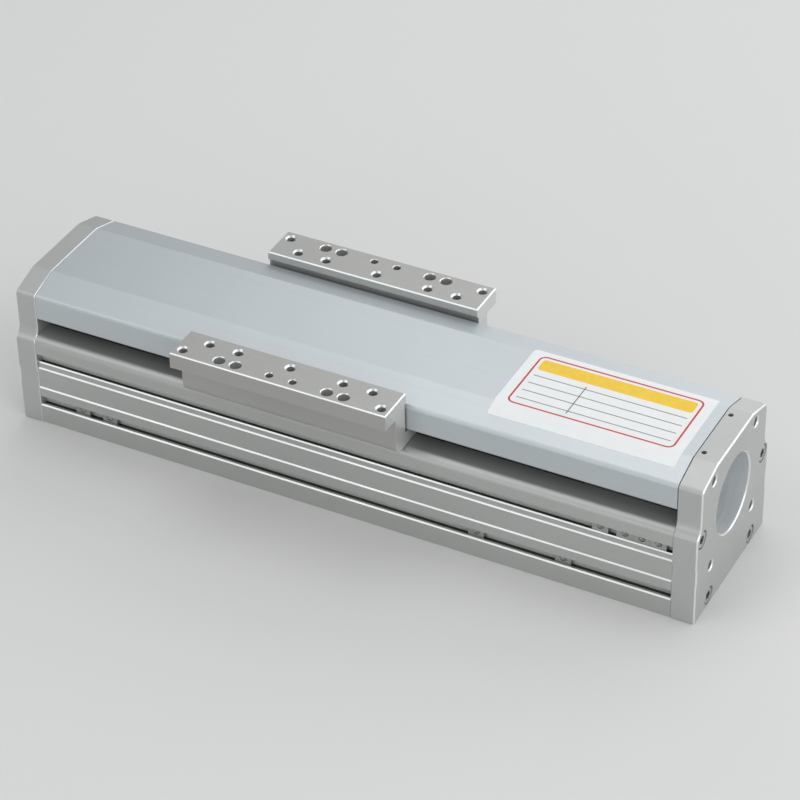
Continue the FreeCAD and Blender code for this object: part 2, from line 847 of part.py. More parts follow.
def make_ball_nut():
    body = new_body("ball_nut")
    section = new_sketch(body, "XZ_Plane")
    bore = dim.screw_diameter / 2 + dim.nut_clearance
    flange_end = flange_seat + dim.flange_thickness
    barrel_start = flange_end - dim.nut_length
    draw_outline(section, [
        (barrel_start, bore),
        (flange_end, bore),
        (flange_end, dim.flange_diameter / 2),
        (flange_seat, dim.flange_diameter / 2),
        (flange_seat, dim.nut_diameter / 2),
        (barrel_start, dim.nut_diameter / 2),
    ])
    spin(body, section)
    flats = new_sketch(body, "YZ_Plane", flange_end)
    edge = dim.flange_diameter / 2 + dim.running_gap
    for low, high in ((flange_rise, edge), (-edge, -flange_rise)):
        draw_rectangle(flats, -edge, low, edge, high)
    pocket(body, flats, dim.flange_thickness)
    bind(body, "Placement.Base.z", dim.axis_height)
    return body


def make_rings(label, rings):
    """Plain rings on the screw's axis, each given as (start, width, bore, diameter)."""
    body = new_body(label, several=True)
    for start, width, bore, diameter in rings:
        section = new_sketch(body, "YZ_Plane", start)
        draw_circles(section, on_axis, diameter)
        draw_circles(section, on_axis, bore)
        pad(body, section, width)
    return body


def make_bearing_retainer():
    """Threaded ring with a hexagon socket that holds the fixed bearing in the boss."""
    body = new_body("bearing_retainer")
    section = new_sketch(body, "YZ_Plane", bearing_end)
    draw_circles(section, on_axis, dim.chamber_diameter - dim.retainer_clearance * 2)
    draw_hexagon(section, dim.lock_nut_corners + dim.turning_gap * 2)
    pad(body, section, dim.retainer_thickness)
    return body


def make_bearing_lock_nut():
    body = new_body("bearing_lock_nut")
    section = new_sketch(body, "YZ_Plane", bearing_end)
    draw_hexagon(section, dim.lock_nut_corners)
    draw_circles(section, on_axis, dim.fixed_bearing_bore + dim.seat_clearance * 2)
    pad(body, section, dim.lock_nut_width)
    return body


def make_end_bumpers():
    """Rubber pads that meet the flange and the saddle just past the ends of the stroke."""
    body = new_body("end_bumpers", several=True)
    high = saddle_top - dim.bumper_drop
    for start in (boss_start - dim.bumper_length, base_start):
        section = new_sketch(body, "YZ_Plane", start)
        draw_rectangle(section, -dim.bumper_width / 2, high - dim.bumper_height, dim.bumper_width / 2, high)
        pad(body, section, dim.bumper_length)
    return body


def make_ball_screw():
    body = new_body("ball_screw")
    section = new_sketch(body, "XZ_Plane")
    fixed = dim.fixed_bearing_bore / 2
    support = dim.support_bearing_bore / 2
    thread = dim.screw_diameter / 2
    drive = dim.drive_end_diameter / 2
    draw_outline(section, [
        (support_end, 0),
        (drive_end, 0),
        (drive_end, drive),
        (lock_nut_end, drive),
        (lock_nut_end, fixed),
        (bearing_start, fixed),
        (bearing_start, thread),
        (base_start, thread),
        (base_start, support),
        (support_end, support),
    ])
    spin(body, section)
    bind(body, "Placement.Base.z", dim.axis_height)
    return body


def make_slot_nuts(label, height, places):
    """Square nuts behind the lips of one slot on the near side, standing on the slot's floor."""
    body = new_body(label, several=True)
    front = half_base - dim.slot_lip - dim.slot_nut_clearance
    bottom = height - dim.slot_cavity / 2
    top = height + dim.slot_cavity / 2 - dim.slot_nut_clearance
    half = dim.slot_nut_length / 2
    section = new_sketch(body, "XZ_Plane", front)
    for place in places:
        draw_rectangle(section, place - half, bottom, place + half, top)
    pad(body, section, dim.slot_nut_thickness, backwards=True)
    threads = new_sketch(body, "XZ_Plane", front)
    hole = dim.slot_nut_thread + dim.thread_clearance * 2
    draw_circles(threads, [(place, height) for place in places], hole)
    drill(body, threads, hole, dim.slot_nut_thickness)
    return body


nut_pitch = dim.slot_nut_length + dim.slot_nut_clearance / 2
high_nuts = [base_end - dim.high_nut_inset]
high_nuts += [base_end - dim.high_row_inset + nut_pitch * n for n in range(3)]
low_nuts = [base_start + inset for inset in (dim.low_idle_inset, dim.low_idle_second_inset)]
low_nuts += [base_end - inset for inset in (dim.low_motor_second_inset, dim.low_motor_inset)]
block_places = [(dim.block_spacing * end / 2, side) for end in (-1, 1) for side in (-1, 1)]

pieces = [
    make_base_extrusion(),
    make_top_cover(),
    make_motor_end_plate(),
    make_idle_end_plate(),
    make_cover_keys(),
    make_cover_set_screws(),
    make_plate_screws("motor_plate_screws", motor_face - counterbore_depth, dim.motor_plate_thickness, True),
    make_plate_screws("idle_plate_screws", idle_face + counterbore_depth, dim.idle_plate_thickness, False),
    make_guide_rail("guide_rail_near", -1),
    make_guide_rail("guide_rail_far", 1),
    make_rings("bearing_outer_rings", [
        (bearing_start, dim.fixed_bearing_width, fixed_outer_bore, dim.fixed_bearing_diameter),
        (support_start, dim.support_bearing_width, support_outer_bore, dim.support_bearing_diameter),
    ]),
    make_rings("bearing_inner_rings", [
        (bearing_start, dim.fixed_bearing_width, fixed_inner_bore, fixed_inner_diameter),
        (support_end, base_start - support_end, support_inner_bore, support_inner_diameter),
    ]),
    make_bearing_retainer(),
    make_bearing_lock_nut(),
    make_end_bumpers(),
    make_slot_nuts("upper_slot_nuts", dim.high_slot_height, high_nuts),
    make_slot_nuts("lower_slot_nuts", dim.low_slot_height, low_nuts),
    make_slider_plate(),
    make_saddle(),
    make_ball_nut(),
    make_ball_screw(),
]
for number, (place_x, side) in enumerate(block_places, start=1):
    pieces.append(make_guide_block("guide_block_%d" % number, place_x, side))
    pieces.append(make_block_end_caps("block_end_caps_%d" % number, place_x, side))

doc.recompute()
for thing in doc.Objects:
    if "Invalid" in thing.State or "Error" in thing.State:
        raise RuntimeError("%s did not build: %s" % (thing.Label, thing.State))
for piece in pieces:
    if piece.Shape.isNull() or not piece.Shape.isValid():
        raise RuntimeError("%s has no valid shape" % piece.Label)

os.makedirs("parts", exist_ok=True)
for piece in pieces:
    piece.Shape.exportStep("parts/%s.step" % piece.Label)
print("%d pieces written" % len(pieces))
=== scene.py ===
import json
import math
import bmesh
import bpy
from mathutils import Matrix, Vector


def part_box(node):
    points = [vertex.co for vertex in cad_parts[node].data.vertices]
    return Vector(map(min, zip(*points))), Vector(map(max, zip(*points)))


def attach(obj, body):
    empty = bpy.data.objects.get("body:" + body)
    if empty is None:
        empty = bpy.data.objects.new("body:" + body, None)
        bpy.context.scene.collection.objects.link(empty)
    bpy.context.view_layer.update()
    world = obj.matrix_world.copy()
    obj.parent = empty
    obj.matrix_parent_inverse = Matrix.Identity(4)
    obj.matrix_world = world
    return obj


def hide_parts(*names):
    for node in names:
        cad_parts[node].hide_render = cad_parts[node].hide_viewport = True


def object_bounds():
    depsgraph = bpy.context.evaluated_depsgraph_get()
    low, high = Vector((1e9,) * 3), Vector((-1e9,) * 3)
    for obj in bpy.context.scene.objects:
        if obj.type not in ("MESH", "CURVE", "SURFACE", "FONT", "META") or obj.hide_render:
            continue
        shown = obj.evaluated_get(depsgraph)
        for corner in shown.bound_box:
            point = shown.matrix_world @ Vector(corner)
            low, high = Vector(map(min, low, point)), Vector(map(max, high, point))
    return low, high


# Covered ball screw module: satin aluminium profiles and plates round a ball screw, on a pale floor.
# The frame is in metres: X along the screw to the motor end, Y across, Z up. Sizes below are in mm.

MM = 0.001
FULL_TURN = 2 * math.pi
AXIS_X = Vector((1, 0, 0))
AXIS_Y = Vector((0, 1, 0))
AXIS_Z = Vector((0, 0, 1))

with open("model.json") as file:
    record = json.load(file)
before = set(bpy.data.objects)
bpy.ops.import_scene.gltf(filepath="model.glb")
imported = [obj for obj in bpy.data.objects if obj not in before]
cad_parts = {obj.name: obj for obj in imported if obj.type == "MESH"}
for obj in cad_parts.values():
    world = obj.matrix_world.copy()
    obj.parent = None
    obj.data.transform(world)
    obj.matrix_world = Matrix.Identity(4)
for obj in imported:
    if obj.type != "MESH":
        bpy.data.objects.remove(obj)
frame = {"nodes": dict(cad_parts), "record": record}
cad_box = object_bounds()
record = frame["record"]
mounts = {mount["name"]: mount for mount in record["mounts"]}
body_of = {node: body for body, nodes in record["behaviour"]["bodies"].items() for node in nodes}


# Material helpers

COLOUR_A = 6
COLOUR_B = 7
COLOUR_OUT = 2
NOISE_LOW = 0.3
NOISE_HIGH = 0.7
DRIFT_SIZE = 70
DRIFT_DETAIL = 2.0
STREAK_DETAIL = 3.0
STREAK_SHARE = 0.45
GRAIN_SIZE = 0.5
GRAIN_DETAIL = 3.0
GRAIN_SHARE = 0.3
LINE_LENGTH = 12
LINE_DETAIL = 4.0
LINE_DEPTH = 0.003
PATCH_DETAIL = 4.0


def hex_colour(text):
    """Linear RGBA of an sRGB hex colour."""
    channels = [int(text[start:start + 2], 16) / 255 for start in (0, 2, 4)]
    linear = [c / 12.92 if c <= 0.04045 else ((c + 0.055) / 1.055) ** 2.4 for c in channels]
    return (*linear, 1.0)


def per_metre(size_mm):
    """Texture scale whose features are about the given size."""
    return 1 / (size_mm * MM)


def add_node(tree, kind, inputs, **settings):
    """Adds a node, sets its options, and links or fills its inputs."""
    node = tree.nodes.new("ShaderNode" + kind)
    for name, value in settings.items():
        setattr(node, name, value)
    for name, value in inputs.items():
        if isinstance(value, bpy.types.NodeSocket):
            tree.links.new(value, node.inputs[name])
        else:
            node.inputs[name].default_value = value
    return node


def new_material(name, metallic):
    """A material with its node tree, its surface shader and the piece's own coordinates."""
    material = bpy.data.materials.new(name)
    material.use_nodes = True
    tree = material.node_tree
    shader = next(node for node in tree.nodes if node.type == "BSDF_PRINCIPLED")
    shader.inputs["Metallic"].default_value = metallic
    place = add_node(tree, "TexCoord", {}).outputs["Object"]
    return material, tree, shader, place


def lay_finish(tree, shader, tone, colours, gloss, height, depth_mm):
    """Lets a tone set colour and gloss, and a height the relief, of a given depth."""
    spread = add_node(tree, "MapRange", {
        "Value": tone, "From Min": NOISE_LOW, "From Max": NOISE_HIGH,
    }).outputs["Result"]
    colour = add_node(tree, "Mix", {
        "Factor": spread, COLOUR_A: hex_colour(colours[0]), COLOUR_B: hex_colour(colours[1]),
    }, data_type="RGBA")
    roughness = add_node(tree, "MapRange", {"Value": spread, "To Min": gloss[0], "To Max": gloss[1]})
    relief = add_node(tree, "Bump", {"Height": height, "Strength": 1.0, "Distance": depth_mm * MM})
    tree.links.new(colour.outputs[COLOUR_OUT], shader.inputs["Base Color"])
    tree.links.new(roughness.outputs["Result"], shader.inputs["Roughness"])
    tree.links.new(relief.outputs["Normal"], shader.inputs["Normal"])


def anodised_aluminium(name, colours, gloss, metallic, streak_mm, grain_depth_mm):
    """Blasted and clear anodised aluminium. It gives the eye an even satin grey with a fine grain, faint
    lines left by the die or the cutter, and a slow drift in tone. The grain is really about 0.1 mm and
    is drawn coarser so that it shows."""
    material, tree, shader, place = new_material(name, metallic)
    drift = add_node(tree, "TexNoise", {
        "Vector": place, "Scale": per_metre(DRIFT_SIZE), "Detail": DRIFT_DETAIL,
    })
    stretched = add_node(tree, "Mapping", {
        "Vector": place, "Scale": [per_metre(size) for size in streak_mm],
    })
    streaks = add_node(tree, "TexNoise", {
        "Vector": stretched.outputs["Vector"], "Scale": 1.0, "Detail": STREAK_DETAIL,
    })
    grain = add_node(tree, "TexNoise", {
        "Vector": place, "Scale": per_metre(GRAIN_SIZE), "Detail": GRAIN_DETAIL,
    })
    lines = add_node(tree, "Mix", {
        "Factor": STREAK_SHARE, "A": drift.outputs["Fac"], "B": streaks.outputs["Fac"],
    })
    tone = add_node(tree, "Mix", {
        "Factor": GRAIN_SHARE, "A": lines.outputs["Result"], "B": grain.outputs["Fac"],
    })
    lay_finish(tree, shader, tone.outputs["Result"], colours, gloss, grain.outputs["Fac"], grain_depth_mm)
    return material


def cut_metal(name, colours, gloss, metallic, line_mm):
    """Ground, rolled, bored or milled metal. It gives the eye bright and dull lines across its length,
    fine on turned pieces, and so wide on small cut faces that they are only a drift in tone."""
    material, tree, shader, place = new_material(name, metallic)
    squeezed = add_node(tree, "Mapping", {
        "Vector": place, "Scale": (per_metre(line_mm), per_metre(LINE_LENGTH), per_metre(LINE_LENGTH)),
    })
    lines = add_node(tree, "TexNoise", {
        "Vector": squeezed.outputs["Vector"], "Scale": 1.0, "Detail": LINE_DETAIL,
    })
    lay_finish(tree, shader, lines.outputs["Fac"], colours, gloss, lines.outputs["Fac"], LINE_DEPTH)
    return material


def mottled(name, colours, gloss, metallic, patch_mm, depth_mm):
    """Plating, oxide, moulded plastic, rubber or printed vinyl. It gives the eye small patches that
    wander in tone and gloss."""
    material, tree, shader, place = new_material(name, metallic)
    patches = add_node(tree, "TexNoise", {
        "Vector": place, "Scale": per_metre(patch_mm), "Detail": PATCH_DETAIL,
    })
    lay_finish(tree, shader, patches.outputs["Fac"], colours, gloss, patches.outputs["Fac"], depth_mm)
    return material


# Materials: the streak sizes are along X, Y and Z

DIE_LINES = (400, 1.6, 1.6)
FACE_MILLED = (9, 9, 1.4)
LONG_MILLED = (60, 1.2, 6)
WIDE_LINES = 40
MILLED_GLOSS = (0.42, 0.36)
WALL_GLOSS = (0.50, 0.44)
SCREW_GLOSS = (0.26, 0.32)
INK = {"gloss": (0.44, 0.50), "metallic": 0.0, "patch_mm": 3.0, "depth_mm": 0.001}

cover_aluminium = anodised_aluminium(
    "anodised_cover_profile", ("BEC5C8", "C5CBCE"), gloss=(0.42, 0.37), metallic=0.65,
    streak_mm=DIE_LINES, grain_depth_mm=0.006)
base_aluminium = anodised_aluminium(
    "anodised_base_profile", ("B0B1AF", "B8B9B7"), gloss=(0.38, 0.33), metallic=0.55,
    streak_mm=DIE_LINES, grain_depth_mm=0.004)
plate_aluminium = anodised_aluminium(
    "anodised_end_plate", ("B2B4B2", "BABCBA"), gloss=(0.40, 0.35), metallic=0.5,
    streak_mm=FACE_MILLED, grain_depth_mm=0.006)
saddle_aluminium = anodised_aluminium(
    "anodised_saddle", ("A7A7A4", "AFAFAC"), gloss=MILLED_GLOSS, metallic=0.55,
    streak_mm=LONG_MILLED, grain_depth_mm=0.006)
# Painted light: a lighter copy of the saddle aluminium for the inner wing lips, standing for the light that
# falls on them.
wing_lip_painted_light = anodised_aluminium(
    "painted_light_wing_lip", ("B4B5B3", "BCBDBB"), gloss=MILLED_GLOSS, metallic=0.5,
    streak_mm=LONG_MILLED, grain_depth_mm=0.006)
# Painted light: a much lighter copy of the saddle aluminium for the saddle's end faces, standing for the
# light on them.
saddle_end_painted_light = anodised_aluminium(
    "painted_light_saddle_end", ("D2D3D1", "DADBD9"), gloss=MILLED_GLOSS, metallic=0.5,
    streak_mm=FACE_MILLED, grain_depth_mm=0.006)
# Turned bore finish, and also painted light: its colour is well above the plate's to stand for the light that
# fills the bore.
bored_painted_light_aluminium = cut_metal(
    "bored_painted_light_aluminium", ("D4D8DA", "DEE2E4"), gloss=WALL_GLOSS, metallic=0.35, line_mm=1.5)
drilled_aluminium = cut_metal(
    "drilled_aluminium", ("A4A4A2", "B0B0AE"), gloss=WALL_GLOSS, metallic=0.4, line_mm=WIDE_LINES)
# Painted shade: a dark copy of the aluminium for the thread ridges, standing for the shade inside the tapped
# holes.
tapped_painted_shade_aluminium = cut_metal(
    "tapped_painted_shade_aluminium", ("727371", "7E7F7D"), gloss=WALL_GLOSS, metallic=0.55, line_mm=WIDE_LINES)
# Painted light: a near-white, mostly matt copy of the base aluminium for the slot back walls, standing for
# light that reaches into the slots.
slot_wall_painted_light = cut_metal(
    "painted_light_slot_wall", ("DEDEDA", "E8E8E4"), gloss=WALL_GLOSS, metallic=0.2, line_mm=WIDE_LINES)
# Painted shade: a near-black copy of the slot aluminium for the slot floors, standing for the shade under the
# slot lips.
slot_floor_painted_shade = cut_metal(
    "painted_shade_slot_floor", ("2E2E2C", "3A3A38"), gloss=(0.60, 0.52), metallic=0.4, line_mm=WIDE_LINES)
# Painted highlight: a near-white copy of the aluminium for edge breaks, hole mouths and tapped hole walls,
# standing for the highlights they catch.
edge_painted_highlight = cut_metal(
    "painted_highlight_aluminium", ("E2E4E4", "ECEDED"), gloss=(0.32, 0.26), metallic=0.7, line_mm=WIDE_LINES)
bearing_steel = cut_metal(
    "ground_bearing_steel", ("9A9C9E", "C4C6C8"), gloss=(0.30, 0.20), metallic=1.0, line_mm=0.5)
rolled_steel = cut_metal(
    "rolled_screw_steel", ("8B8D8F", "BEC0C2"), gloss=(0.28, 0.20), metallic=1.0, line_mm=0.8)
oxide_steel = mottled(
    "black_oxide_steel", ("2B2C2E", "434448"), gloss=(0.34, 0.44), metallic=1.0,
    patch_mm=0.8, depth_mm=0.006)
stainless_steel = mottled(
    "stainless_screw_steel", ("C0C2C2", "CED0D0"), gloss=SCREW_GLOSS, metallic=1.0,
    patch_mm=2.0, depth_mm=0.003)
zinc_steel = mottled(
    "zinc_plated_steel", ("A4A6A3", "B2B3AE"), gloss=SCREW_GLOSS, metallic=1.0,
    patch_mm=4.0, depth_mm=0.004)
cap_plastic = mottled(
    "moulded_black_plastic", ("1B1C1E", "26272A"), gloss=(0.46, 0.56), metallic=0.0,
    patch_mm=0.7, depth_mm=0.010)
bumper_rubber = mottled(
    "moulded_rubber", ("161617", "222223"), gloss=(0.66, 0.78), metallic=0.0,
    patch_mm=1.2, depth_mm=0.015)
label_vinyl = mottled(
    "white_label_vinyl", ("E9EBEB", "EDEEEE"), gloss=(0.40, 0.46), metallic=0.0,
    patch_mm=7.0, depth_mm=0.003)
yellow_ink = mottled("yellow_label_ink", ("EFC41E", "F5CC30"), **INK)
red_ink = mottled("red_label_ink", ("C32B2D", "CE3537"), **INK)
grey_ink = mottled("grey_label_ink", ("707476", "7C8082"), **INK)


# Mesh helpers

SMOOTH_BELOW = math.radians(16)
SOFTEN_ABOVE = math.radians(50)
FLAT_WITHIN = math.radians(0.5)
WELD = 0.001 * MM
PLANE_WITHIN = 0.002 * MM
RIM_WITHIN = 0.02
ON_CIRCLE = 1.002
SQUARE = 0.99
HALF_WAY = math.sqrt(0.5)
LEAN_WITHIN = 0.06
EDGE_STEPS = 2


def finish_piece(name, bm, materials, body):
    """Turns a bmesh into a piece that rides on a body, with flat faces that shade flat."""
    for face in bm.faces:
        face.smooth = True
    mesh = bpy.data.meshes.new(name)
    bm.to_mesh(mesh)
    bm.free()
    for material in materials:
        mesh.materials.append(material)
    piece = bpy.data.objects.new(name, mesh)
    bpy.context.scene.collection.objects.link(piece)
    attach(piece, body)
    flat_faces = piece.modifiers.new("flat_faces", "WEIGHTED_NORMAL")
    flat_faces.keep_sharp = True
    return piece


def stand_for(node, bm, materials):
    """Lets a finished copy stand for its CAD node."""
    piece = finish_piece(node + "_finished", bm, materials, body_of[node])
    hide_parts(node)


def everything(bm):
    """All that a bmesh holds, as the operators take it."""
    return [*bm.verts, *bm.edges, *bm.faces]


def only_verts(geom):
    """The vertices among what an operator made."""
    return [part for part in geom if isinstance(part, bmesh.types.BMVert)]


def open_rims(bm):
    """Edges that have a face on one side only."""
    return [edge for edge in bm.edges if len(edge.link_faces) == 1]


def mark_creases(bm):
    """Keeps facets of round walls smooth and every real crease crisp."""
    for edge in bm.edges:
        edge.smooth = len(edge.link_faces) == 2 and edge.calc_face_angle() < SMOOTH_BELOW


def node_copy(node):
    """A welded copy of a CAD node's mesh, with its flat faces made whole again."""
    bm = bmesh.new()
    bm.from_mesh(frame["nodes"][node].data)
    bmesh.ops.remove_doubles(bm, verts=bm.verts, dist=WELD)
    bmesh.ops.dissolve_limit(bm, angle_limit=FLAT_WITHIN, verts=bm.verts, edges=bm.edges)
    return bm


def solid_boxes(node):
    """Lowest and highest corner of each separate solid of a CAD node, in order along X."""
    bm = node_copy(node)
    waiting = set(bm.verts)
    boxes = []
    while waiting:
        island = set()
        reached = {waiting.pop()}
        while reached:
            vert = reached.pop()
            island.add(vert)
            reached |= {edge.other_vert(vert) for edge in vert.link_edges} - island
        waiting -= island
        low = Vector([min(vert.co[axis] for vert in island) for axis in range(3)])
        high = Vector([max(vert.co[axis] for vert in island) for axis in range(3)])
        boxes.append((low, high))
    bm.free()
    return sorted(boxes, key=lambda box: tuple(box[0]))


def side_middle(box, direction):
    """Middle of the side of a box that faces along one axis."""
    low, high = box
    return (low + high) / 2 + direction * abs((high - low).dot(direction)) / 2


def soften(bm, width_mm):
    """Breaks every sharp edge by a small round that catches the light, and returns the new faces."""
    mark_creases(bm)
    folds = [edge for edge in bm.edges if len(edge.link_faces) == 2]
    sharp = [edge for edge in folds if edge.calc_face_angle() > SOFTEN_ABOVE]
    rounds = bmesh.ops.bevel(bm, geom=sharp, offset=width_mm * MM, segments=EDGE_STEPS, profile=0.5,
                             affect="EDGES", material=-1, clamp_overlap=True)
    return rounds["faces"]


def chamfer_mouths(bm, axis, mouths, radius_mm, width_mm):
    """Chamfers the hole mouths of one radius that lie square to the axis, and returns the new faces."""
    radius = radius_mm * MM
    rims = []
    for edge in bm.edges:
        middle = (edge.verts[0].co + edge.verts[1].co) / 2
        for mouth in mouths:
            in_plane = all(abs((vert.co - mouth).dot(axis)) < PLANE_WITHIN for vert in edge.verts)
            if in_plane and abs((middle - mouth).length - radius) < RIM_WITHIN * radius:
                rims.append(edge)
                break
    chamfers = bmesh.ops.bevel(bm, geom=rims, offset=width_mm * MM, segments=1, profile=0.5,
                               affect="EDGES", material=-1, clamp_overlap=False)
    return chamfers["faces"]


def slanted_faces(bm, axis):
    """Faces that lean halfway between an axis and square to it, as edge breaks do."""
    return [face for face in bm.faces if abs(abs(face.normal.dot(axis)) - HALF_WAY) < LEAN_WITHIN]


def faces_in_plane(bm, axis, place):
    """Faces in the plane that lies square to an axis at a place."""
    return [
        face for face in bm.faces
        if abs(face.normal.dot(axis)) > SQUARE
        and abs((face.calc_center_median() - place).dot(axis)) < PLANE_WITHIN
    ]


def hole_walls(bm, axis, mouth, radius_mm):
    """Faces that lie wholly on or inside a hole's radius."""
    reach = radius_mm * MM * ON_CIRCLE
    return [
        face for face in bm.faces
        if all((vert.co - mouth).cross(axis).length < reach for vert in face.verts)
    ]


def paint(faces, number):
    """Gives faces one of the piece's further materials."""
    for face in faces:
        face.material_index = number


def pattern_places(mount):
    """Centres of a bolt pattern's holes, as the record gives them."""
    axis = Vector(mount["axis"])
    across = [step for step in (AXIS_X, AXIS_Y, AXIS_Z) if abs(step.dot(axis)) < HALF_WAY]
    places = [Vector(mount["pos_m"])]
    for step, size in zip(across, ("spacing_x_mm", "spacing_y_mm")):
        reach = step * mount["dims"].get(size, 0) / 2 * MM
        if reach.length > 0:
            places = [place + reach * side for place in places for side in (-1, 1)]
    return places


def repeat(bm, places, direction):
    """Copies what the bmesh holds to every place, turned from +Z, and drops the original."""
    original = everything(bm)
    old_verts = list(bm.verts)
    turn = direction.to_track_quat("Z", "Y").to_matrix().to_4x4()
    for place in places:
        copy = bmesh.ops.duplicate(bm, geom=original)["geom"]
        bmesh.ops.transform(bm, matrix=Matrix.Translation(place) @ turn, verts=only_verts(copy))
    bmesh.ops.delete(bm, geom=old_verts)


def draw_line(bm, profile, closed):
    """A line of (radius, height) points in the half plane through Z."""
    verts = [bm.verts.new((radius * MM, 0, height * MM)) for radius, height in profile]
    ends = verts[1:] + verts[:1] if closed else verts[1:]
    edges = [bm.edges.new(pair) for pair in zip(verts, ends)]
    return verts + edges


def lathe(bm, profile, steps, closed=False):
    """Spins a line of (radius, height) points round Z."""
    line = draw_line(bm, profile, closed)
    bmesh.ops.spin(bm, geom=line, cent=(0, 0, 0), axis=AXIS_Z, angle=FULL_TURN, steps=steps, use_merge=True)
    bmesh.ops.remove_doubles(bm, verts=bm.verts, dist=WELD)
    bmesh.ops.recalc_face_normals(bm, faces=bm.faces)


def helix(bm, profile, pitch, turns, steps, closed):
    """Winds a line of (radius, height) points down round Z."""
    line = draw_line(bm, profile, closed)
    bmesh.ops.spin(bm, geom=line, cent=(0, 0, 0), axis=AXIS_Z, angle=FULL_TURN * turns,
                   steps=steps * turns, dvec=(0, 0, -pitch * MM / steps))
    bmesh.ops.remove_doubles(bm, verts=bm.verts, dist=WELD)


# Soft-edged copies of the CAD pieces: the first numbers are places in a copy's list of materials

PAINTED_HIGHLIGHT = 1
LINED = 2
WING_LIPS = 3
SLOT_FLOORS = 3
PAINTED_LIGHT_ENDS = 4
PLATE_EDGE = 0.4
PLATE_MOUTHS = {"motor_bolts": 0.6, "motor_bore": 0.4}
WING_EDGE = 0.3
WING_LIP = 4.0
WING_THREADS = ("wing_threads_wide", "wing_threads_middle", "wing_threads_centre", "wing_threads_corner")
WING_HOLES = ("wing_holes_wide", "wing_holes_narrow")
WING_MOUTHS = {
    **{name: 0.3 for name in (*WING_THREADS, "wing_dowels")},
    **{name: 0.4 for name in WING_HOLES},
}
BASE_EDGE = 0.12
SLOT_HEIGHT = 7.4
SLOT_DEPTH = 4.8
NUT_EDGE = 0.15
NUT_THREAD_RADIUS = 1.52
NUT_THREAD_CHAMFER = 0.3
COVER_EDGE = 0.15
GROUND_EDGE = 0.2
TURNED_EDGE = 0.3
MOULDED_EDGE = 0.3
RUBBER_EDGE = 0.5
GUIDE_BLOCKS = 4


def mouths_of(node, name):
    """Axis, mouth centres and radius of a mount's holes, on the outer face of a node."""
    mount = mounts[name]
    axis = Vector(mount["axis"])
    radius = mount["dims"].get("hole_r_mm", mount["dims"].get("r_mm"))
    outer_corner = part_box(node)[1]
    places = [place + axis * (outer_corner - place).dot(axis) for place in pattern_places(mount)]
    return axis, places, radius


def cut_edges(bm, node, facing, mouths, width_mm):
    """Breaks a milled node's hole mouths and edges, and paints a highlight on these breaks and on the slanted
    edge breaks it already has.
    """
    paint(slanted_faces(bm, facing), PAINTED_HIGHLIGHT)
    for name, chamfer in mouths.items():
        paint(chamfer_mouths(bm, *mouths_of(node, name), chamfer), PAINTED_HIGHLIGHT)
    paint(soften(bm, width_mm), PAINTED_HIGHLIGHT)


def line_holes(bm, node, names, number):
    """Gives the walls of a node's holes one of its further materials."""
    for name in names:
        axis, places, radius = mouths_of(node, name)
        for place in places:
            paint(hole_walls(bm, axis, place, radius), number)


def inner_lips(bm, top):
    """Upright faces at the top of the wings that look in towards the cover."""
    lips = []
    for face in bm.faces:
        middle = face.calc_center_median()
        looks_in = face.normal.y * middle.y < -SQUARE * abs(middle.y)
        if looks_in and middle.z > top - WING_LIP * MM:
            lips.append(face)
    return lips


def dress(node, material, width_mm):
    """A copy of a CAD node with softened edges."""
    bm = node_copy(node)
    soften(bm, width_mm)
    stand_for(node, bm, [material])


def dress_end_plate(node, mouths, bores):
    """An end plate with painted highlights on its cut edges, and a lining for each bore."""
    bm = node_copy(node)
    materials = [plate_aluminium, edge_painted_highlight]
    cut_edges(bm, node, AXIS_X, mouths, PLATE_EDGE)
    if bores:
        # The bore walls get the turned finish, lightened as painted light.
        line_holes(bm, node, bores, LINED)
        materials.append(bored_painted_light_aluminium)
    stand_for(node, bm, materials)


def dress_saddle(node):
    """The saddle, with painted highlights on its cut edges and tapped hole walls, drilled holes, and painted
    light on its ends and inner wing lips.
    """
    bm = node_copy(node)
    low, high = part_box(node)
    cut_edges(bm, node, AXIS_Z, WING_MOUTHS, WING_EDGE)
    line_holes(bm, node, WING_HOLES, LINED)
    # Painted highlight on the walls of the tapped holes.
    line_holes(bm, node, WING_THREADS, PAINTED_HIGHLIGHT)
    # Painted light on both end faces.
    for end in (low, high):
        paint(faces_in_plane(bm, AXIS_X, end), PAINTED_LIGHT_ENDS)
    # Painted light on the inner wing lips.
    paint(inner_lips(bm, high.z), WING_LIPS)
    stand_for(node, bm, [
        saddle_aluminium, edge_painted_highlight, drilled_aluminium, wing_lip_painted_light, saddle_end_painted_light,
    ])


def dress_base(node):
    """The base profile, with painted highlights on the slot lips, painted light on the slot back walls and
    painted shade on the slot floors.
    """
    bm = node_copy(node)
    slots = [Vector(mounts[name]["pos_m"]) for name in ("near_lower_slot", "near_upper_slot")]
    lip_top = slots[1].z + SLOT_HEIGHT * MM
    # Painted highlight on the slanted chamfers below the top of the upper slot.
    paint([face for face in slanted_faces(bm, AXIS_Z) if face.calc_center_median().z < lip_top], PAINTED_HIGHLIGHT)
    soften(bm, BASE_EDGE)
    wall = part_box(node)[1] - SLOT_DEPTH * MM * AXIS_Y
    # Painted light: the slot back walls get the near-white material.
    for place in (wall, -wall):
        paint(faces_in_plane(bm, AXIS_Y, place), LINED)
    # Painted shade: the slot floors get the near-black material.
    for slot in slots:
        paint(faces_in_plane(bm, AXIS_Z, slot - SLOT_HEIGHT / 2 * MM * AXIS_Z), SLOT_FLOORS)
    stand_for(node, bm, [base_aluminium, edge_painted_highlight, slot_wall_painted_light, slot_floor_painted_shade])


